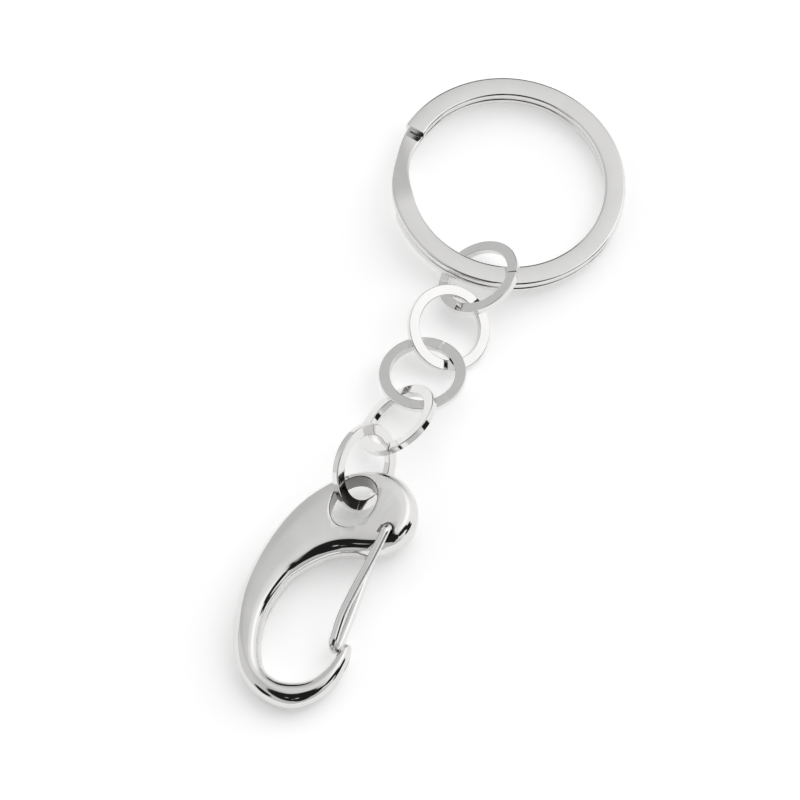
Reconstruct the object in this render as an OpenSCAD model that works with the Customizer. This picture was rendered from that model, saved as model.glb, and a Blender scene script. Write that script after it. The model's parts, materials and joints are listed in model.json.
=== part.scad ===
// Split key ring with a short chain of jump rings and a spring-gate snap hook.
// Laid out flat: the chain runs along -Y from the split ring to the hook, +Z is up.
// Millimetres and degrees. Origin: middle of the footprint, on the surface it lies on.

/* [Split ring] */
// Outside diameter of the split ring
ring_od = 33; // [30:0.5:36]
// Width of the flat wire, measured along the radius
ring_wire_w = 2.95; // [2.4:0.05:3.2]
// Thickness of one turn of the wire
ring_wire_t = 1.3; // [1:0.05:1.4]
// Hairline gap between the two turns
turn_gap = 0.06; // [0.03:0.01:0.1]
// How far the free end of the upper turn stands up
end_lift = 0.15; // [0:0.05:0.3]

/* [Jump rings] */
// Outside diameter of each jump ring
link_od = 12; // [11.6:0.1:12.2]
// Width of the jump ring wire, measured along the radius
link_w = 1.5; // [1.2:0.05:1.6]
// Thickness of the jump ring wire
link_t = 1; // [0.8:0.05:1]
// Width of the butt seam where the two wire ends meet
seam_gap = 0.12; // [0.04:0.01:0.2]

/* [Hook] */
// Radius of the round head of the hook
head_r = 5.85; // [5.7:0.05:6.1]
// Half of the thickness of the head
head_half_t = 2.35; // [2.2:0.05:2.4]
// Width of the soft shoulder along the outer edge
shoulder_out = 0.9; // [0.6:0.05:1.1]
// Width of the soft shoulder along the edge of the opening
shoulder_in = 1.6; // [1.2:0.05:1.8]
// Length of the oval eye
eye_len = 7.7; // [7.4:0.1:8.2]
// Width of the oval eye
eye_w = 5.7; // [5.5:0.1:6.1]
// Size of the bevel round both rims of the eye
eye_cut = 0.35; // [0.2:0.05:0.5]

/* [Gate] */
// Diameter of the gate wire
wire_d = 1.24; // [1.1:0.02:1.26]
// Radial clearance of a wire end in its hole
wire_play = 0.08; // [0.05:0.01:0.1]
// Height of the gate legs above the middle of the head, at the holes
leg_height = 3.46; // [3.4:0.05:3.6]
// Height of the gate legs above the middle of the hook, where the U-bend begins
bend_h = 1.15; // [1.1:0.05:1.2]

/* [Hidden] */
fine = 96;

// Where the layout below sits relative to the origin
layout_shift = [-4.62, -1.28, -0.03];

// Split ring: centre, tilt of its axis, and the compass direction it leans to
ring_pos = [15.05, 31.9, 2.7];
ring_tilt = 4.4;
ring_lean = 23;
// Angles round the ring: free end of the upper turn, and the start and end of the
// crossover in which the wire drops from the upper level to the lower level
upper_end = 150;
cross_start = 196;
cross_end = 152;
// The upper turn rests on the lower one again this far past its free end
lift_span = 40;
ring_mid_r = (ring_od - ring_wire_w) / 2;
turn_pitch = ring_wire_t + turn_gap;
edge_cut = 0.3;
// Degrees of wire left out between the lower free end and the crossover
lower_end_gap = 2;
ring_step = 4;

// Jump rings: centre, tilt of the axis, direction it leans to, angle of the seam
LINKS = [
    [[10.9, 16.9, 3.55], 28.5, 153, -160],
    [[6.7, 9.45, 3.2], 27.5, -38, 70],
    [[3.1, 2.3, 3.35], 10.5, 106, -46],
    [[-0.25, -4.95, 4.4], 41.7, 146, 120],
    [[-4.8, -12.3, 5.45], 59.5, -29.7, -60],
];
link_edge_cut = 0.1;

// Hook: its own frame has +Y from tail to head and Z through its thickness
hook_pos = [-3.3, -18.9, 4.2];
hook_turn = -23;
hook_tilt = 4.2;
head_pos = [-0.1, 0.05];
eye_pos = [-3.17, 0.08];
eye_turn = -12;
hole_pos = [2.65, -1.85];

// U-bend of the gate: where it begins, and how far its upper leg lies off to one side
bend_pos = [2.18, -18.26];
bend_lean = 0.33;
bend_r = norm([bend_lean, bend_h]);
wire_r = wire_d / 2;
hole_r = wire_r + wire_play;
// The nose is hollowed out where the closed gate rests against it
notch_play = 0.15;
notch_r = wire_r + notch_play;
// Where the upper and the lower leg pass between their hole and the U-bend
leg_via = [[[2.3, -6.9], [1.85, -11.3], [1.6, -15.2]],
           [[1.65, -5.2], [1.95, -10], [2.35, -15.2]]];
// Height at which each end of the wire stops inside its hole, and the bend above the hole
wire_end_z = 0.4;
hole_bend_r = 0.9;
wire_sides = 20;

// Ribs across the hook from head to nose: outer edge point, inner edge point, half thickness
RIBS = [
    [[-1.8, 5.3], [3.9, -4.1], 2.25],
    [[-4.6, 4.55], [2.6, -5.3], 2.35],
    [[-7.2, 1.9], [0.9, -6.05], 2.35],
    [[-9.7, -1.9], [-1.9, -7.15], 2.35],
    [[-11.4, -6.5], [-4.6, -9.5], 2.35],
    [[-12.4, -12], [-7, -13.5], 2.3],
    [[-12.4, -17.5], [-7.8, -18], 2.25],
    [[-11.1, -22.6], [-7.15, -22.2], 2.2],
    [[-8.35, -27.1], [-5.5, -25.35], 2.1],
    [[-4.5, -29.35], [-3.1, -26.35], 2],
    [[-0.4, -29.45], [-0.65, -25.8], 1.9],
    [[2.55, -27.5], [1.2, -24.5], 1.8],
    [[4.3, -24.3], [2.4, -22.3], 1.7],
    [[4.75, -20.7], [2.9, -20.2], 1.5],
    [[4.3, -18.2], [3.2, -18.5], 1.2],
];
rib_steps = 4;

// Upper half of the edge profile: [share of the shoulder width, share of the half thickness]
EDGE = [[0, 0.35], [0.2, 0.66], [0.55, 0.9], [1, 1]];

steel = [0.78, 0.78, 0.77];

// ---- general helpers ----

// Eases from 0 to 1 with no corner at either end
function smooth(t) = let (c = min(max(t, 0), 1)) c * c * (3 - 2 * c);

// Catmull-Rom curve through a list of values or points
function curve(list, k, t) =
    let (n = len(list) - 1,
         a = list[max(k - 1, 0)],
         b = list[k],
         c = list[min(k + 1, n)],
         d = list[min(k + 2, n)])
    0.5 * (2 * b + t * (c - a) + t * t * (2 * a - 5 * b + 4 * c - d)
           + t * t * t * (3 * b - a - 3 * c + d));

// Closed solid through a row of sections with the same number of points
module loft(sections) {
    m = len(sections[0]);
    n = len(sections);
    points = [for (s = sections) for (p = s) p];
    sides = [for (i = [0 : n - 2]) for (j = [0 : m - 1])
        [i * m + j, i * m + (j + 1) % m, (i + 1) * m + (j + 1) % m, (i + 1) * m + j]];
    first = [for (j = [m - 1 : -1 : 0]) j];
    last = [for (j = [0 : m - 1]) (n - 1) * m + j];
    polyhedron(points = points, faces = concat([first], sides, [last]), convexity = 10);
}

// Outline of a flat wire, middle at [r, z], with its four corners cut
function wire_outline(r, z, w, t, cut) = [
    [r - w / 2 + cut, z - t / 2],
    [r + w / 2 - cut, z - t / 2],
    [r + w / 2, z - t / 2 + cut],
    [r + w / 2, z + t / 2 - cut],
    [r + w / 2 - cut, z + t / 2],
    [r - w / 2 + cut, z + t / 2],
    [r - w / 2, z + t / 2 - cut],
    [r - w / 2, z - t / 2 + cut],
];

// Puts a part whose axis is Z at pos, with the axis tilted towards a direction
module place(pos, tilt, lean, spin = 0) {
    translate(layout_shift + pos)
        rotate([0, 0, lean])
            rotate([0, tilt, 0])
                rotate([0, 0, spin])
                    children();
}

// ---- split ring: one flat wire, two turns ----

// Height of the wire along its length; s counts degrees clockwise from the upper free end
function wire_height(s) =
    let (drop_from = upper_end + 360 - cross_start,
         drop_to = upper_end + 360 - cross_end,
         drop = smooth((s - drop_from) / (drop_to - drop_from)),
         lift = end_lift * (1 - smooth(s / lift_span)))
    turn_pitch / 2 - turn_pitch * drop + lift;

function wire_section(s) =
    [for (p = wire_outline(ring_mid_r, wire_height(s), ring_wire_w, ring_wire_t, edge_cut))
        [p[0] * cos(upper_end - s), p[0] * sin(upper_end - s), p[1]]];

module split_ring() {
    total = 2 * 360 - (cross_start - upper_end) - lower_end_gap;
    steps = round(total / ring_step);
    color(steel)
        place(ring_pos, ring_tilt, ring_lean, -ring_lean)
            loft([for (i = [steps : -1 : 0]) wire_section(total * i / steps)]);
}

// ---- jump rings ----

module jump_ring(k) {
    mid_r = (link_od - link_w) / 2;
    seam_angle = seam_gap / mid_r * 180 / PI;
    color(steel)
        place(LINKS[k][0], LINKS[k][1], LINKS[k][2], LINKS[k][3])
            rotate_extrude(angle = 360 - seam_angle, $fn = fine)
                polygon(wire_outline(mid_r, 0, link_w, link_t, link_edge_cut));
}

// ---- snap hook ----

module in_hook_frame() {
    translate(layout_shift + hook_pos)
        rotate([0, 0, hook_turn])
            rotate([hook_tilt, 0, 0])
                children();
}

// Rib section from the outer edge over the top to the inner edge and back underneath
function rib_section(outer, inner, half_t) =
    let (d = inner - outer,
         w = norm(d),
         u = d / w,
         so = min(shoulder_out, w * 0.4),
         si = min(shoulder_in, w * 0.55),
         top = concat([for (e = EDGE) [so * e[0], half_t * e[1]]],
                      [for (i = [3 : -1 : 0]) [w - si * EDGE[i][0], half_t * EDGE[i][1]]]),
         under = [for (i = [len(top) - 1 : -1 : 0]) [top[i][0], -top[i][1]]])
    [for (p = concat(top, under)) [outer[0] + u[0] * p[0], outer[1] + u[1] * p[0], p[1]]];

module hook_horn() {
    outer = [for (r = RIBS) r[0]];
    inner = [for (r = RIBS) r[1]];
    half = [for (r = RIBS) r[2]];
    last = len(RIBS) - 1;
    loft([for (i = [0 : last * rib_steps])
        let (k = min(floor(i / rib_steps), last - 1), t = i / rib_steps - k)
        rib_section(curve(outer, k, t), curve(inner, k, t), curve(half, k, t))]);
}

module hook_head() {
    top = [for (i = [3 : -1 : 0]) [head_r - shoulder_in * EDGE[i][0], head_half_t * EDGE[i][1]]];
    under = [for (i = [0 : 3]) [top[3 - i][0], -top[3 - i][1]]];
    translate([head_pos[0], head_pos[1], 0])
        rotate_extrude($fn = fine)
            polygon(concat([[0, head_half_t]], top, under, [[0, -head_half_t]]));
}

// Ellipse of the eye at height z, made larger all round by grow
function eye_outline(z, grow) =
    [for (a = [0 : 7.5 : 352.5])
        let (x = (eye_w / 2 + grow) * cos(a), y = (eye_len / 2 + grow) * sin(a))
        [x, y, z]];

// Straight through the eye, spreading at 45 degrees above and below it to bevel both rims
module eye_cutter() {
    spread = eye_cut + 1;
    out = head_half_t + 1;
    translate([eye_pos[0], eye_pos[1], 0])
        rotate([0, 0, eye_turn])
            loft([eye_outline(out, spread),
                  eye_outline(head_half_t - eye_cut, 0),
                  eye_outline(eye_cut - head_half_t, 0),
                  eye_outline(-out, spread)]);
}

module hook_body() {
    through = 2 * head_half_t + 2;
    color(steel)
        in_hook_frame()
            difference() {
                union() {
                    hook_head();
                    hook_horn();
                }
                eye_cutter();
                translate([hole_pos[0], hole_pos[1], -through / 2])
                    cylinder(h = through, r = hole_r, $fn = fine);
                translate([bend_pos[0], bend_pos[1] - bend_r, -through / 2])
                    cylinder(h = through, r = notch_r, $fn = fine);
            }
}

// ---- wire gate: one bent wire ----

// Points on an arc about c from direction u towards direction v
function arc(c, r, u, v, steps) =
    [for (i = [0 : steps]) let (a = 90 * i / steps) c + r * (cos(a) * u + sin(a) * v)];

// Point of a leg in plan, raised to its place between hole and U-bend
function leg_point(p, side) =
    let (t = (hole_pos[1] - p[1]) / (hole_pos[1] - bend_pos[1]))
    [p[0], p[1], side * (leg_height + t * (bend_h - leg_height))];

// Middle line of one half of the wire, from its end in the hole to the middle of the U-bend
function half_wire(side) =
    let (up = [0, 0, side],
         bend_mid = [bend_pos[0], bend_pos[1], 0],
         lean = side * [-bend_lean, 0, bend_h],
         via = leg_via[side > 0 ? 0 : 1],
         leg = concat([leg_point(hole_pos, side)],
                      [for (p = via) leg_point(p, side)],
                      [bend_mid + lean]),
         along = (leg[1] - leg[0]) / norm(leg[1] - leg[0]),
         corner = leg[0] + hole_bend_r * (along - up))
    concat([[hole_pos[0], hole_pos[1], side * wire_end_z]],
           arc(corner, hole_bend_r, -along, up, 5),
           [for (k = [0 : len(leg) - 2]) let (from = k > 0 ? 0 : 0.4)
               for (t = [from : 0.25 : 0.99]) curve(leg, k, t)],
           arc(bend_mid, bend_r, lean / bend_r, [0, -1, 0], 5));

// Circle of wire about point i of a line of points, square to the line
function ring_at(path, i) =
    let (n = len(path) - 1,
         d = path[min(i + 1, n)] - path[max(i - 1, 0)],
         t = d / norm(d),
         side = [1, 0, 0] - t[0] * t,
         a = side / norm(side),
         b = cross(t, a))
    [for (k = [0 : wire_sides - 1])
        let (q = 360 * k / wire_sides) path[i] + wire_r * (cos(q) * a + sin(q) * b)];

module wire_gate() {
    upper = half_wire(1);
    lower = half_wire(-1);
    path = concat(upper, [for (i = [len(lower) - 2 : -1 : 0]) lower[i]]);
    color(steel)
        in_hook_frame()
            loft([for (i = [len(path) - 1 : -1 : 0]) ring_at(path, i)]);
}

split_ring();
jump_ring(0);  // jump_ring_1
jump_ring(1);  // jump_ring_2
jump_ring(2);  // jump_ring_3
jump_ring(3);  // jump_ring_4
jump_ring(4);  // jump_ring_5
hook_body();
wire_gate();
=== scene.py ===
"""Looks of the split key ring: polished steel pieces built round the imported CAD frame."""

import json
import math

import bmesh
import bpy
import numpy as np
from mathutils import Matrix, Vector


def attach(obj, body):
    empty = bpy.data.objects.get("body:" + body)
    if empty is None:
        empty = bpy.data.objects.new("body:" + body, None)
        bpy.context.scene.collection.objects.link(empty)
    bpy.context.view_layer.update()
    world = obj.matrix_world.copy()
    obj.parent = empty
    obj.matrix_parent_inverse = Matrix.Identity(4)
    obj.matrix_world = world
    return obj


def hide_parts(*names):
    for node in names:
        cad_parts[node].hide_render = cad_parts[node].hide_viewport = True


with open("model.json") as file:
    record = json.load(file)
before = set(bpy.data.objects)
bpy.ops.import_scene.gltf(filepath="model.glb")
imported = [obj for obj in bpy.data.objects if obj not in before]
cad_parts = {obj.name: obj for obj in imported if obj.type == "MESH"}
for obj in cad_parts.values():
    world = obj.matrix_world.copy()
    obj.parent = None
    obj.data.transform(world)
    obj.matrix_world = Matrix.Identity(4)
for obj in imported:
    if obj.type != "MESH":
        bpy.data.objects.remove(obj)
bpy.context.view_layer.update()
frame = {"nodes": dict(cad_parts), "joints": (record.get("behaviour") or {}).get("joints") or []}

MM = 0.001
MERGE = 1e-7

# ---- sizes in millimetres, angles in degrees ----

# Split ring: one flat wire in two turns
RING_OD = 33.0
RING_WIRE_W = 2.95
RING_WIRE_T = 1.3
TURN_GAP = 0.06
RING_EDGE = 0.34
RING_CROWN = 0.05
RING_STEP = 2.0

# The free end of the upper turn stands up by the lift, which fades out over its span
END_LIFT = 0.15
LIFT_SPAN = 40.0

# The wire drops to its lower turn between these angles before the upper free end
CROSS_START = 46.0
CROSS_END = 2.0
LOWER_END_GAP = 2.0

# It is narrowest at the neck, by this share of its width
NECK_AT = 343.0
NECK_SPAN = 26.0
NECK_LOSS = 0.30

# Jump rings: flat wire closed by a butt seam
LINK_OD = 12.0
LINK_W = 1.5
LINK_T = 1.0
LINK_EDGE = 0.11
LINK_SEAM = 0.12
LINK_STEP = 2.5

# Both flat wires: rounding of the cut ends, distance of the points that hold a flat beside
# its rounded edge, places across a crowned face, and angle past which an edge stays crisp
END_ROUNDING = 0.07
FLAT_HOLD = 0.04
CROWN_AT = (0.7, 0.35, 0, -0.35, -0.7)
FLAT_SHARP = 38.0

# A face of a cut end looks along the wire to at least this cosine
CUT_FACE = 0.97

# Hook, in its own frame: +Y from tail to head, Z through the thickness
HEAD_HALF_T = 2.35
HOLE = (2.65, -1.85)
HOLE_R = 0.7
HOLE_RIM = 0.32
EYE = (-3.17, 0.08)
EYE_TURN = -12.0
EYE_LEN = 7.7
EYE_W = 5.7
EYE_RIM = 0.35

# Height of the side walls above and below the middle, as shares of the half thickness,
# and width of the rounding along the outer edge of the underside
WALL_TOP = 0.12
WALL_FOOT = 0.5
FOOT_SHOULDER = 0.5

# Parting ridge round the casting: how far it stands out, and half its height
RIDGE = 0.03
RIDGE_H = 0.05

# The upper face falls away by the crown towards its edges, in full from this width on
CROWN = 0.16
CROWN_WIDTH = 12.0

# Skin of the hook: steps between ribs, degrees at which the stations lie round a shoulder,
# largest shares of a rib for its shoulders, steepest slope of the creased outer edge
RIB_STEPS = 10
SHOULDER_AT = (0, 8, 16, 25, 35, 46, 58, 72, 90)
OUTER_SHARE = 0.45
INNER_SHARE = 0.55
FLAT_STATIONS = 7
CREASE = 52.0
HOOK_SHARP = 25.0

# Holes of the hook: degrees round a mouth, sides of the cutter, how far it reaches out
MOUTH_AT = (0, 15, 30, 45, 60, 75)
CUTTER_SIDES = 96
CUTTER_REACH = 1.5
# Share of the eye's size inside which its walls take the painted shade; the wire hole takes it
# out to its rim
EYE_MARGIN = 1.02

# Gate: one bent wire, with the places in plan that its upper and lower legs pass
WIRE_R = 0.62
WIRE_SIDES = 28
WIRE_SHARP = 50.0
WIRE_END = 0.4
HOLE_BEND_R = 0.9
LEG_HEIGHT = 3.46
LEG_VIA = {1: ((2.3, -6.9), (1.85, -11.3), (1.6, -15.2)),
           -1: ((1.65, -5.2), (1.95, -10.0), (2.35, -15.2))}
LEG_START = 0.4
LEG_STEPS = 6
BEND = (2.18, -18.26)
BEND_H = 1.15
BEND_LEAN = 0.33
BEND_R = math.hypot(BEND_H, BEND_LEAN)

# Hollow in the nose where the closed gate rests
NOTCH_R = 0.77
NOTCH_RIM = 0.3
NOTCH_HALF_T = 1.5

# Ribs across the hook: outer edge, inner edge, half thickness, shoulder widths
# along the outer and the inner edge, and how crisp the outer crease is (0 to 1)
HOOK_RIBS = [
    ((3.66, -4.43), (3.66, -4.43), 2.30, 2.2, 2.2, 0.0),
    ((5.20, -2.42), (3.05, -4.95), 2.33, 2.2, 2.2, 0.0),
    ((5.73, 0.56), (2.30, -5.42), 2.35, 2.2, 2.2, 0.0),
    ((4.69, 3.41), (1.40, -5.83), 2.35, 2.0, 2.2, 0.0),
    ((2.37, 5.35), (0.50, -6.18), 2.35, 1.5, 2.2, 0.1),
    ((-0.41, 5.89), (-0.44, -6.50), 2.35, 1.0, 2.2, 0.3),
    ((-2.70, 5.32), (-1.30, -6.87), 2.35, 0.8, 2.2, 0.6),
    ((-5.00, 4.15), (-2.30, -7.40), 2.35, 0.65, 2.2, 0.9),
    ((-7.20, 1.90), (-3.30, -8.15), 2.35, 0.6, 2.2, 1.0),
    ((-9.70, -1.90), (-4.60, -9.50), 2.35, 0.6, 2.2, 1.0),
    ((-11.40, -6.50), (-5.92, -11.37), 2.35, 0.65, 2.0, 1.0),
    ((-12.40, -12.00), (-7.00, -13.50), 2.30, 0.75, 1.8, 1.0),
    ((-12.40, -17.50), (-7.80, -18.00), 2.25, 0.9, 1.6, 1.0),
    ((-11.10, -22.60), (-7.15, -22.20), 2.20, 1.1, 1.5, 1.0),
    ((-8.35, -27.10), (-5.50, -25.35), 2.10, 1.4, 1.6, 0.7),
    ((-4.50, -29.35), (-3.10, -26.35), 2.00, 1.6, 1.4, 0.2),
    ((-0.40, -29.45), (-0.65, -25.80), 1.90, 1.8, 1.3, 0.0),
    ((2.55, -27.50), (1.20, -24.50), 1.80, 1.6, 1.2, 0.0),
    ((4.30, -24.30), (2.40, -22.30), 1.70, 1.4, 1.1, 0.0),
    ((4.75, -20.70), (2.90, -20.20), 1.50, 1.1, 0.9, 0.0),
    ((4.35, -18.45), (3.15, -18.62), 1.25, 0.8, 0.8, 0.0),
    ((3.72, -18.12), (3.72, -18.12), 1.15, 0.6, 0.6, 0.0),
]

# Camera: height of the view, distance and lens of the long studio view
VIEW_TARGET = (-4.62, -1.28, 0.0)
VIEW_HEIGHT = 66.0
VIEW_DISTANCE = 600.0
VIEW_LENS = 196.3
SENSOR = 36.0
VIEW_REACH_M = 20

# Soft sun that lights the floor only, and the floor itself
SUN_ENERGY = 0.8
SUN_ANGLE = 75.0
SUN_TURN = (-28.0, 26.0)
FLOOR_REACH = 3000
FLOOR_SHADE = (0.93, 0.93, 0.93, 1)
FLOOR_GLOW = 0.3

# Polished steel, as scales of the noise textures and shares of their effect
CLOUD_SCALE = 260.0
CLOUD_DARK = 0.95
CLOUD_SHARE = 0.6
SCRATCH_TURN = (0.2, 0.1, 0.6)
SCRATCH_SHARE = 0.4
SCRATCH_DEPTH_M = 0.00002
ROUGHER = 1.9


# ---- frames taken from the CAD ----

def joint(name):
    """Position in millimetres and unit axis of one of the frame's joints."""
    found = next(j for j in frame["joints"] if j["name"] == name)
    return np.array(found["pos_m"]) / MM, np.array(found["axis"], float)


def placement(origin, x_axis, z_axis):
    """Matrix from a piece's own millimetres to the frame's metres."""
    z = z_axis / np.linalg.norm(z_axis)
    x = x_axis - z * (x_axis @ z)
    x = x / np.linalg.norm(x)
    y = np.cross(z, x)
    m = np.eye(4)
    m[:3, 0], m[:3, 1], m[:3, 2] = x * MM, y * MM, z * MM
    m[:3, 3] = np.array(origin) * MM
    return Matrix(m.tolist())


def cut_ends(node, centre, axis):
    """Directions from centre to the cut ends of a wire ring, highest end first."""
    mesh = frame["nodes"][node].data
    ends = []
    for face in mesh.polygons:
        arm = np.array(face.center) / MM - centre
        height = arm @ axis
        arm = arm - height * axis
        along = np.cross(axis, arm / np.linalg.norm(arm))
        if abs(np.array(face.normal) @ along) > CUT_FACE:
            ends.append((height, arm))
    ends.sort(key=lambda e: -e[0])
    return [arm for _, arm in ends]


def link_frame(node):
    """Placement of a jump ring: its centre, its axis, and X towards its seam."""
    mesh = frame["nodes"][node].data
    points = np.array([v.co for v in mesh.vertices]) / MM
    axes = np.linalg.svd(points - points.mean(0), full_matrices=False)[2]
    axis = axes[2] * (1 if axes[2][2] > 0 else -1)
    reach = points @ axes.T
    centre = (reach.max(0) + reach.min(0)) / 2 @ axes
    seam = np.mean(cut_ends(node, centre, axis), axis=0)
    return placement(centre, seam, axis)


def ring_frame():
    """Placement of the split ring, with X towards the free end of its upper turn."""
    centre, axis = joint("ring_1_travel")
    return placement(centre, cut_ends("split_ring", centre, axis)[0], axis)


def hook_frame():
    """Placement of the hook's own frame, found from the pivot of its gate."""
    pivot, axis = joint("gate_swing")
    up = -axis
    x = np.cross((0, 0, 1), up)
    x = x / np.linalg.norm(x)
    y = np.cross(up, x)
    return placement(pivot - HOLE[0] * x - HOLE[1] * y, x, up)


# ---- mesh helpers ----

def smooth(t):
    """Eases from 0 to 1 with no corner at either end."""
    t = min(max(t, 0.0), 1.0)
    return t * t * (3 - 2 * t)


def rounded_section(width, height, radius, crown=0.0, steps=4):
    """Rounded rectangle, anticlockwise, with points that hold its flats beside each corner.
    The crown is how far its upper and lower faces fall away towards their edges."""
    points = []
    for k, (sx, sy) in enumerate(((1, -1), (1, 1), (-1, 1), (-1, -1))):
        x, y = sx * (width / 2 - radius), sy * (height / 2 - radius)
        turns = [math.radians(90 * (k - 1) + 90 * i / steps) for i in range(steps + 1)]
        corner = [(x + radius * math.cos(a), y + radius * math.sin(a)) for a in turns]
        back = (math.sin(turns[0]) * FLAT_HOLD, -math.cos(turns[0]) * FLAT_HOLD)
        on = (-math.sin(turns[-1]) * FLAT_HOLD, math.cos(turns[-1]) * FLAT_HOLD)
        points.append((corner[0][0] + back[0], corner[0][1] + back[1]))
        points += corner
        points.append((corner[-1][0] + on[0], corner[-1][1] + on[1]))
        if crown and k % 2:
            points += [(f * (x - sx * FLAT_HOLD), sy * height / 2)
                       for f in CROWN_AT]
    fall = 2 * crown / height
    return [(x, y * (1 - fall * (2 * x / width) ** 2)) for x, y in points]


def loft(sections):
    """Vertices and faces of a skin over sections with the same number of points."""
    m, n = len(sections[0]), len(sections)
    vertices = [p for s in sections for p in s]
    faces = []
    for i in range(n - 1):
        a, b = i * m, (i + 1) * m
        for j in range(m):
            k = (j + 1) % m
            faces.append((a + j, a + k, b + k, b + j))
    faces.append(tuple(range(m - 1, -1, -1)))
    faces.append(tuple(range((n - 1) * m, n * m)))
    return vertices, faces


def new_object(name, vertices, faces, place):
    mesh = bpy.data.meshes.new(name)
    mesh.from_pydata([place @ Vector(v) for v in vertices], [], faces)
    mesh.validate()
    obj = bpy.data.objects.new(name, mesh)
    bpy.context.scene.collection.objects.link(obj)
    return obj


def apply_modifiers(obj):
    """Puts the result of the modifiers into the object's own mesh."""
    graph = bpy.context.evaluated_depsgraph_get()
    made = bpy.data.meshes.new_from_object(obj.evaluated_get(graph))
    obj.modifiers.clear()
    obj.data = made


def outward(obj):
    """Turns every face outwards and joins points that coincide."""
    bm = bmesh.new()
    bm.from_mesh(obj.data)
    bmesh.ops.remove_doubles(bm, verts=bm.verts, dist=MERGE)
    bmesh.ops.dissolve_degenerate(bm, edges=bm.edges, dist=MERGE)
    bmesh.ops.recalc_face_normals(bm, faces=bm.faces)
    bm.to_mesh(obj.data)
    bm.free()


def shade(obj, angle=FLAT_SHARP):
    """Smooth shading that keeps flat faces flat and edges past the angle crisp."""
    for face in obj.data.polygons:
        face.use_smooth = True
    obj.data.set_sharp_from_angle(angle=math.radians(angle))
    weighted = obj.modifiers.new("weighted", "WEIGHTED_NORMAL")
    weighted.keep_sharp = True
    weighted.weight = 80


def cut(obj, tool):
    """Takes the tool's volume out of the object."""
    boolean = obj.modifiers.new("cut", "BOOLEAN")
    boolean.operation = "DIFFERENCE"
    boolean.solver = "EXACT"
    boolean.object = tool
    apply_modifiers(obj)
    bpy.data.objects.remove(tool)


def declare(obj, node, slot, *materials):
    obj.data.materials.clear()
    for material in materials:
        obj.data.materials.append(material)
    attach(obj, node)
    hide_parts(node)


# ---- materials ----

def polished_steel(name, tint, rough, scratch_scale, stretch, lines, wear):
    """Bright steel with faint clouding, hairline polishing marks and paler worn edges."""
    material = bpy.data.materials.new(name)
    material.use_nodes = True
    nodes, links = material.node_tree.nodes, material.node_tree.links
    shader = nodes["Principled BSDF"]
    shader.inputs["Metallic"].default_value = 1.0
    shader.inputs["Specular IOR Level"].default_value = 0.5

    where = nodes.new("ShaderNodeTexCoord")
    clouds = nodes.new("ShaderNodeTexNoise")
    clouds.inputs["Scale"].default_value = CLOUD_SCALE
    clouds.inputs["Detail"].default_value = 5.0
    links.new(where.outputs["Object"], clouds.inputs["Vector"])

    colour = nodes.new("ShaderNodeValToRGB")
    colour.color_ramp.elements[0].position = 0.3
    colour.color_ramp.elements[1].position = 0.7
    colour.color_ramp.elements[0].color = (*[c * CLOUD_DARK for c in tint], 1)
    colour.color_ramp.elements[1].color = (*tint, 1)
    links.new(clouds.outputs["Fac"], colour.inputs["Fac"])

    geometry = nodes.new("ShaderNodeNewGeometry")
    edges = nodes.new("ShaderNodeValToRGB")
    edges.color_ramp.elements[0].position = 0.5
    edges.color_ramp.elements[1].position = 0.62
    edges.color_ramp.elements[0].color = (0, 0, 0, 1)
    edges.color_ramp.elements[1].color = (wear, wear, wear, 1)
    links.new(geometry.outputs["Pointiness"], edges.inputs["Fac"])
    worn = nodes.new("ShaderNodeMixRGB")
    worn.blend_type = "SCREEN"
    worn.inputs["Fac"].default_value = 1.0
    links.new(colour.outputs["Color"], worn.inputs["Color1"])
    links.new(edges.outputs["Color"], worn.inputs["Color2"])
    links.new(worn.outputs["Color"], shader.inputs["Base Color"])

    mapping = nodes.new("ShaderNodeMapping")
    mapping.inputs["Scale"].default_value = stretch
    mapping.inputs["Rotation"].default_value = SCRATCH_TURN
    links.new(where.outputs["Object"], mapping.inputs["Vector"])
    scratches = nodes.new("ShaderNodeTexNoise")
    scratches.inputs["Scale"].default_value = scratch_scale
    scratches.inputs["Detail"].default_value = 3.0
    links.new(mapping.outputs["Vector"], scratches.inputs["Vector"])

    spread = nodes.new("ShaderNodeMapRange")
    spread.inputs["From Min"].default_value = 0.35
    spread.inputs["From Max"].default_value = 0.75
    spread.inputs["To Min"].default_value = rough
    spread.inputs["To Max"].default_value = rough * ROUGHER
    mixed = nodes.new("ShaderNodeMath")
    mixed.operation = "MULTIPLY_ADD"
    mixed.inputs[1].default_value = SCRATCH_SHARE
    links.new(scratches.outputs["Fac"], mixed.inputs[0])
    faded = nodes.new("ShaderNodeMath")
    faded.operation = "MULTIPLY"
    faded.inputs[1].default_value = CLOUD_SHARE
    links.new(clouds.outputs["Fac"], faded.inputs[0])
    links.new(faded.outputs["Value"], mixed.inputs[2])
    links.new(mixed.outputs["Value"], spread.inputs["Value"])
    links.new(spread.outputs["Result"], shader.inputs["Roughness"])

    bump = nodes.new("ShaderNodeBump")
    bump.inputs["Strength"].default_value = lines
    bump.inputs["Distance"].default_value = SCRATCH_DEPTH_M
    links.new(scratches.outputs["Fac"], bump.inputs["Height"])
    links.new(bump.outputs["Normal"], shader.inputs["Normal"])
    return material


# ---- split ring ----

def wire_height(s):
    """Height of the wire's middle; s counts degrees clockwise from the upper free end."""
    drop_from, drop_to = 360 - CROSS_START, 360 - CROSS_END
    pitch = RING_WIRE_T + TURN_GAP
    lift = END_LIFT * (1 - smooth(s / LIFT_SPAN))
    return pitch / 2 - pitch * smooth((s - drop_from) / (drop_to - drop_from)) + lift


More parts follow.
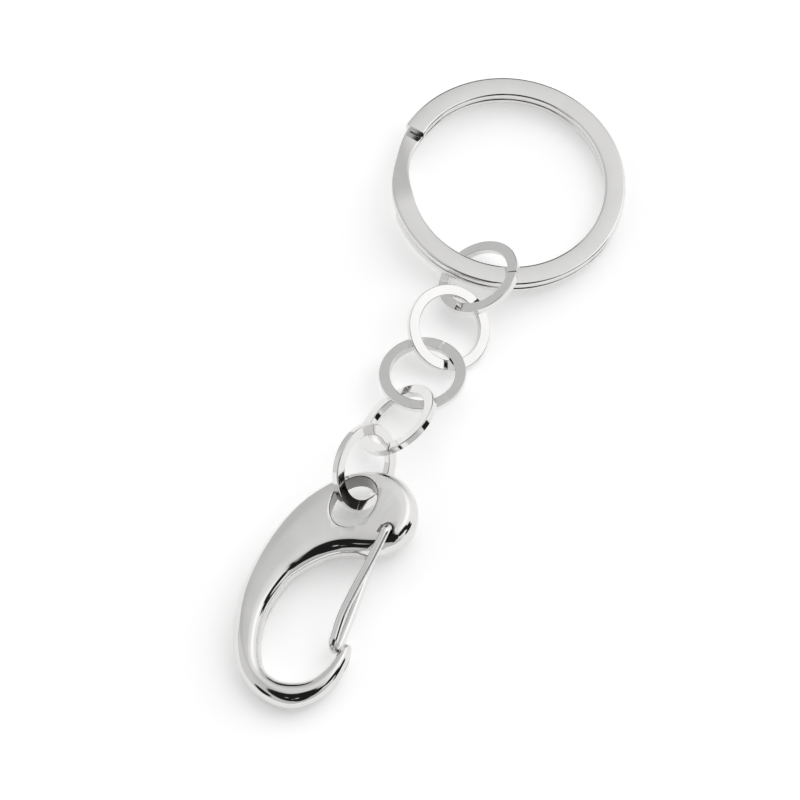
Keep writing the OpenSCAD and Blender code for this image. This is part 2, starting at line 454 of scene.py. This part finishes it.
def ring_section(s, inset=0.0):
    """Section of the wire, drawn in to a neck where it crosses between the turns."""
    mid_r = (RING_OD - RING_WIRE_W) / 2
    a = math.radians(-s)
    neck = NECK_LOSS * smooth(1 - abs(s - NECK_AT) / NECK_SPAN)
    outline = rounded_section(RING_WIRE_W * (1 - neck) - 2 * inset, RING_WIRE_T - 2 * inset,
                              RING_EDGE - inset, RING_CROWN)
    return [((mid_r + x) * math.cos(a), (mid_r + x) * math.sin(a), wire_height(s) + z)
            for x, z in outline]


def rounded_stations(total, step, radius_mm):
    """Stations along a wire with small quarter-round ends: (place, inset)."""
    per_mm = math.degrees(1 / radius_mm)
    turns = [math.radians(a) for a in (0, 30, 60, 90)]
    ends = [(END_ROUNDING * (1 - math.cos(a)) * per_mm, END_ROUNDING * (1 - math.sin(a)))
            for a in turns]
    inner = [(s, 0.0) for s in np.linspace(0, total, round(total / step))[1:-1]]
    return ends + inner + [(total - s, inset) for s, inset in ends[::-1]]


def split_ring(material):
    total = 2 * 360 - CROSS_START - LOWER_END_GAP
    mid_r = (RING_OD - RING_WIRE_W) / 2
    stations = rounded_stations(total, RING_STEP, mid_r)
    obj = new_object("split_ring_wire", *loft([ring_section(s, i) for s, i in stations]),
                     ring_frame())
    outward(obj)
    shade(obj)
    declare(obj, "split_ring", "ring_steel", material)


# ---- jump rings ----

def link_section(a, inset):
    mid_r = (LINK_OD - LINK_W) / 2
    c, s = math.cos(math.radians(a)), math.sin(math.radians(a))
    outline = rounded_section(LINK_W - 2 * inset, LINK_T - 2 * inset, LINK_EDGE - inset)
    return [((mid_r + x) * c, (mid_r + x) * s, z) for x, z in outline]


def jump_ring(node, material):
    mid_r = (LINK_OD - LINK_W) / 2
    gap = math.degrees(LINK_SEAM / mid_r)
    stations = rounded_stations(360 - gap, LINK_STEP, mid_r)
    sections = [link_section(gap / 2 + s, i) for s, i in stations]
    obj = new_object(node + "_link", *loft(sections), link_frame(node))
    outward(obj)
    shade(obj)
    declare(obj, node, "jump_ring_steel", material)


# ---- snap hook ----

def through_ribs(values, k, t):
    """Catmull-Rom curve through a list of numbers or points."""
    last = len(values) - 1
    a, b, c, d = (np.array(values[min(max(k + i, 0), last)], float) for i in (-1, 0, 1, 2))
    return 0.5 * (2 * b + t * (c - a) + t * t * (2 * a - 5 * b + 4 * c - d)
                  + t ** 3 * (3 * b - a - 3 * c + d))


def rib_values(i):
    """Outer and inner point, half thickness, shoulders and crease at station i."""
    last = len(HOOK_RIBS) - 1
    k = min(i // RIB_STEPS, last - 1)
    t = i / RIB_STEPS - k
    return [through_ribs([rib[c] for rib in HOOK_RIBS], k, t) for c in range(6)]


def distances(points, line):
    """Distance from each point to a polyline."""
    a, b = line[:-1], line[1:]
    d = b - a
    length = np.maximum((d * d).sum(1), 1e-12)
    best = np.full(len(points), 1e9)
    for i in range(len(a)):
        t = np.clip((points - a[i]) @ d[i] / length[i], 0, 1)
        best = np.minimum(best, np.linalg.norm(points - a[i] - t[:, None] * d[i], axis=1))
    return best


def shoulder(distance, width, crease):
    """Rise from 0 at the edge to 1 at the flat; crease leaves a corner at the flat."""
    u = np.clip(distance / width, 0, 1)
    full = np.sqrt(np.maximum(1 - (1 - u) ** 2, 0))
    top = math.radians(CREASE)
    v = np.arccos(1 - u * (1 - math.cos(top)))
    crisp = np.sin(v) / math.sin(top)
    return full * (1 - crease) + crisp * crease


def rib_stations(width, outer_w, inner_w):
    """Places across one rib, close together where the shoulders bend most."""
    so, si = min(outer_w, width * OUTER_SHARE), min(inner_w, width * INNER_SHARE)
    bend = [1 - math.cos(math.radians(a)) for a in SHOULDER_AT]
    flat = np.linspace(so, width - si, FLAT_STATIONS)[1:-1]
    return [so * b for b in bend] + list(flat) + [width - si * b for b in bend[::-1]]


def ridge_profile():
    """Parting ridge of the casting at mid height: (how far it stands out, height)."""
    return [(0, RIDGE_H), (RIDGE, RIDGE_H / 3), (RIDGE, -RIDGE_H / 3), (0, -RIDGE_H)]


def hook_skin():
    """Skin of the casting, without its holes, through all the ribs."""
    count = (len(HOOK_RIBS) - 1) * RIB_STEPS + 1
    ribs = [rib_values(i) for i in range(count)]
    outer = np.array([r[0] for r in ribs])
    inner = np.array([r[1] for r in ribs])
    sections = []
    for out_point, in_point, half_t, outer_w, inner_w, crease in ribs:
        crease = min(max(crease, 0), 1)
        across = in_point - out_point
        width = max(np.linalg.norm(across), 1e-4)
        stations = np.array(rib_stations(width, outer_w, inner_w))
        flat = out_point + across / width * stations[:, None]
        near_out, near_in = distances(flat, outer), distances(flat, inner)
        near_out[0] = near_in[-1] = 0
        rise = shoulder(near_out, outer_w, crease) * shoulder(near_in, inner_w, 0)
        foot = shoulder(near_out, FOOT_SHOULDER, 0) * shoulder(near_in, inner_w, 0)
        middle = (stations / width * 2 - 1) ** 2 * min(width / CROWN_WIDTH, 1)
        top_z = half_t * (WALL_TOP + (1 - WALL_TOP) * rise) - CROWN * middle * rise
        foot_z = -half_t * (WALL_FOOT + (1 - WALL_FOOT) * foot)
        u = across / width
        ridge_in = [(*(in_point + u * w), z) for w, z in ridge_profile()]
        ridge_out = [(*(out_point - u * w), z) for w, z in ridge_profile()[::-1]]
        top = [(x, y, z) for (x, y), z in zip(flat, top_z)]
        under = [(x, y, z) for (x, y), z in zip(flat[::-1], foot_z[::-1])]
        sections.append(top + ridge_in + under + ridge_out)
    return loft(sections)


def rim_profile(rim, half_t):
    """Profile of a hole with softly rounded mouths: (growth, height), top to bottom."""
    turn = [rim * (1 - math.cos(math.radians(a))) for a in MOUTH_AT]
    rise = [rim * math.sin(math.radians(a)) for a in MOUTH_AT]
    mouth = [(t, half_t - rim + r) for t, r in zip(turn, rise)]
    slope = math.tan(math.radians(MOUTH_AT[-1]))
    mouth.append((mouth[-1][0] + CUTTER_REACH * slope, mouth[-1][1] + CUTTER_REACH))
    return [(r, z) for r, z in mouth[::-1]] + [(r, -z) for r, z in mouth]


def hole_cutter(centre, long_r, short_r, turn, rim, half_t, place):
    """Solid of an oval hole through the hook, with rounded mouths."""
    turn = math.radians(turn)
    sections = []
    for grow, z in rim_profile(rim, half_t):
        ring = []
        for a in np.linspace(0, 2 * math.pi, CUTTER_SIDES, endpoint=False):
            x, y = (short_r + grow) * math.cos(a), (long_r + grow) * math.sin(a)
            ring.append((centre[0] + x * math.cos(turn) - y * math.sin(turn),
                         centre[1] + x * math.sin(turn) + y * math.cos(turn), z))
        sections.append(ring)
    obj = new_object("hole_cutter", *loft(sections), place)
    outward(obj)
    return obj


def paint_recess_shade(obj, place):
    """Gives the walls of the eye and of the wire hole the hook's second material, a dark steel
    that paints the shade in these holes.
    """
    back = place.inverted()
    turn = math.radians(EYE_TURN)
    for face in obj.data.polygons:
        at = back @ face.center
        dx, dy = at.x - EYE[0], at.y - EYE[1]
        x = (dx * math.cos(turn) + dy * math.sin(turn)) / (EYE_W / 2)
        y = (dy * math.cos(turn) - dx * math.sin(turn)) / (EYE_LEN / 2)
        in_eye = math.hypot(x, y) < EYE_MARGIN
        in_hole = math.hypot(at.x - HOLE[0], at.y - HOLE[1]) < HOLE_R + HOLE_RIM
        face.material_index = 1 if in_eye or in_hole else 0


def hook_body(material, recess_shade):
    place = hook_frame()
    obj = new_object("hook_casting", *hook_skin(), place)
    outward(obj)
    cut(obj, hole_cutter(EYE, EYE_LEN / 2, EYE_W / 2, EYE_TURN, EYE_RIM, HEAD_HALF_T, place))
    cut(obj, hole_cutter(HOLE, HOLE_R, HOLE_R, 0, HOLE_RIM, HEAD_HALF_T, place))
    notch = (BEND[0], BEND[1] - BEND_R)
    cut(obj, hole_cutter(notch, NOTCH_R, NOTCH_R, 0, NOTCH_RIM, NOTCH_HALF_T, place))
    outward(obj)
    shade(obj, HOOK_SHARP)
    declare(obj, "hook_body", "hook_metal", material, recess_shade)
    # Painted shade: the walls of the eye and of the wire hole get the dark steel
    paint_recess_shade(obj, place)


# ---- wire gate ----

def arc(centre, radius, u, v, steps=8):
    """Quarter circle about a centre, from direction u to direction v."""
    angles = [math.pi / 2 * i / steps for i in range(steps + 1)]
    return [centre + radius * (math.cos(a) * u + math.sin(a) * v) for a in angles]


def leg_point(x, y, side):
    """Point of a leg in plan, raised to its place between hole and U-bend."""
    t = (HOLE[1] - y) / (HOLE[1] - BEND[1])
    return np.array((x, y, side * (LEG_HEIGHT + t * (BEND_H - LEG_HEIGHT))))


def half_wire(side):
    """Middle line from the end in the hole to the middle of the U-bend."""
    up = np.array((0.0, 0.0, side))
    bend_mid = np.array((*BEND, 0.0))
    lean = side * np.array((-BEND_LEAN, 0.0, BEND_H))
    leg = [leg_point(*p, side) for p in (HOLE, *LEG_VIA[side])] + [bend_mid + lean]
    along = (leg[1] - leg[0]) / np.linalg.norm(leg[1] - leg[0])
    corner = leg[0] + HOLE_BEND_R * (along - up)
    line = [np.array((*HOLE, side * WIRE_END))] + arc(corner, HOLE_BEND_R, -along, up)
    for k in range(len(leg) - 1):
        for t in np.linspace(0 if k else LEG_START, 1, LEG_STEPS, endpoint=False):
            line.append(through_ribs(leg, k, t))
    return line + arc(bend_mid, BEND_R, lean / BEND_R, np.array((0.0, -1.0, 0.0)))


def wire_sections(path):
    """Circles of wire across a path."""
    sections = []
    n = len(path) - 1
    for i, point in enumerate(path):
        d = path[min(i + 1, n)] - path[max(i - 1, 0)]
        t = d / np.linalg.norm(d)
        a = np.array((1.0, 0, 0)) - t[0] * t
        a = a / np.linalg.norm(a)
        b = np.cross(t, a)
        sections.append([point + WIRE_R * (math.cos(q) * a + math.sin(q) * b)
                         for q in np.linspace(0, 2 * math.pi, WIRE_SIDES, endpoint=False)])
    return sections


def wire_gate(material):
    path = half_wire(1) + half_wire(-1)[-2::-1]
    vertices, faces = loft(wire_sections(path))
    obj = new_object("gate_spring_wire", vertices, faces, hook_frame())
    outward(obj)
    shade(obj, WIRE_SHARP)
    declare(obj, "wire_gate", "gate_wire", material)


# ---- studio ----

def world_lobe(tree, before, direction, half_angle, soft, amount):
    """Adds a soft round patch of light, or of dark, to the world round a direction."""
    nodes, links = tree.nodes, tree.links
    where = nodes["Texture Coordinate"]
    dot = nodes.new("ShaderNodeVectorMath")
    dot.operation = "DOT_PRODUCT"
    dot.inputs[1].default_value = Vector(direction).normalized()
    links.new(where.outputs["Generated"], dot.inputs[0])
    fade = nodes.new("ShaderNodeMapRange")
    fade.interpolation_type = "SMOOTHSTEP"
    fade.inputs["From Min"].default_value = math.cos(math.radians(half_angle + soft))
    fade.inputs["From Max"].default_value = math.cos(math.radians(half_angle - soft))
    fade.inputs["To Max"].default_value = amount
    links.new(dot.outputs["Value"], fade.inputs["Value"])
    total = nodes.new("ShaderNodeMath")
    total.operation = "ADD"
    links.new(before, total.inputs[0])
    links.new(fade.outputs["Result"], total.inputs[1])
    return total.outputs["Value"]


# Patches of the studio round the piece, light or dark: direction, half angle, softness
# and amount. The dark ones make the dark bands along the roundings.
STUDIO = [
    ((0.40, 0.22, 0.88), 24, 14, 0.30),
    ((0.92, 0.1, 0.42), 36, 14, 0.40),
    ((-0.95, -0.1, 0.3), 26, 20, 0.15),
    ((0.0, -0.62, 0.78), 27, 3, -0.9),
    ((0.42, -0.64, 0.62), 15, 3, -1.2),
    ((0.25, -0.85, 0.46), 12, 2, -0.9),
    ((0.75, -0.34, 0.55), 11, 2, -1.4),
    ((0.92, -0.18, 0.34), 8, 2, -1.3),
    ((0.97, -0.25, 0.08), 10, 2, -1.3),
    ((0.05, 0.97, 0.22), 22, 4, -0.66),
    ((-0.70, -0.65, 0.30), 12, 2, -1.0),
    ((-0.14, -0.60, 0.79), 3, 1, 0.7),
    ((0.13, -0.70, 0.70), 3.5, 1, 0.9),
    ((0.02, -0.76, 0.65), 2, 0.8, 0.6),
    ((0.28, -0.60, 0.75), 3, 1, 1.2),
]
# Level between the patches, and the least level inside a dark one
AMBIENT = 0.62
DARKEST = 0.015


def studio():
    world = bpy.data.worlds.new("studio")
    bpy.context.scene.world = world
    world.use_nodes = True
    tree = world.node_tree
    tree.nodes.new("ShaderNodeTexCoord").name = "Texture Coordinate"
    base = tree.nodes.new("ShaderNodeValue")
    base.outputs[0].default_value = AMBIENT
    level = base.outputs[0]
    for direction, half_angle, soft, amount in STUDIO:
        level = world_lobe(tree, level, direction, half_angle, soft, amount)
    least = tree.nodes.new("ShaderNodeMath")
    least.operation = "MAXIMUM"
    least.inputs[1].default_value = DARKEST
    tree.links.new(level, least.inputs[0])
    tree.links.new(least.outputs["Value"], tree.nodes["Background"].inputs["Color"])

    light = bpy.data.lights.new("soft_sun", "SUN")
    light.energy = SUN_ENERGY
    light.angle = math.radians(SUN_ANGLE)
    sun = bpy.data.objects.new("soft_sun", light)
    sun.rotation_euler = (*[math.radians(a) for a in SUN_TURN], 0)
    sun.visible_glossy = False
    bpy.context.scene.collection.objects.link(sun)


def floor():
    material = bpy.data.materials.new("floor_paper")
    material.use_nodes = True
    shader = material.node_tree.nodes["Principled BSDF"]
    shader.inputs["Base Color"].default_value = FLOOR_SHADE
    shader.inputs["Roughness"].default_value = 0.9
    shader.inputs["Specular IOR Level"].default_value = 0.1
    shader.inputs["Emission Color"].default_value = (1, 1, 1, 1)
    shader.inputs["Emission Strength"].default_value = FLOOR_GLOW
    reach = FLOOR_REACH
    corners = [(-reach, -reach, 0), (reach, -reach, 0), (reach, reach, 0), (-reach, reach, 0)]
    obj = new_object("floor", corners, [(0, 1, 2, 3)], Matrix.Scale(MM, 4))
    obj.data.materials.append(material)


def camera():
    data = bpy.data.cameras.new("camera")
    data.lens = VIEW_LENS
    data.sensor_width = SENSOR
    data.clip_end = VIEW_REACH_M
    obj = bpy.data.objects.new("camera", data)
    up = math.radians(VIEW_HEIGHT)
    back = Vector((0, -math.cos(up), math.sin(up)))
    obj.location = (Vector(VIEW_TARGET) + VIEW_DISTANCE * back) * MM
    obj.rotation_euler = (math.radians(90 - VIEW_HEIGHT), 0, 0)
    bpy.context.scene.collection.objects.link(obj)
    bpy.context.scene.camera = obj


# ---- build ----

ring_steel = polished_steel("ring_steel", (0.80, 0.795, 0.785), 0.06, 900,
                            (1, 1, 6), 0.05, 0.12)
link_steel = polished_steel("link_steel", (0.81, 0.805, 0.795), 0.05, 1100,
                            (1, 5, 1), 0.06, 0.15)
hook_metal = polished_steel("hook_metal", (0.78, 0.775, 0.765), 0.045, 700,
                            (1, 7, 1), 0.02, 0.10)
# Dark copy of the hook steel: painted shade on the walls of the eye and of the wire hole
recess_painted_shade = polished_steel("recess_painted_shade", (0.20, 0.19, 0.18), 0.12, 900,
                              (1, 1, 7), 0.10, 0.02)
gate_wire = polished_steel("gate_wire", (0.83, 0.825, 0.82), 0.05, 1200,
                           (5, 1, 5), 0.04, 0.05)

split_ring(ring_steel)
for k in range(1, 6):
    jump_ring("jump_ring_%d" % k, link_steel)
hook_body(hook_metal, recess_painted_shade)
wire_gate(gate_wire)
floor()
studio()
camera()

bpy.context.scene.view_settings.view_transform = "Standard"
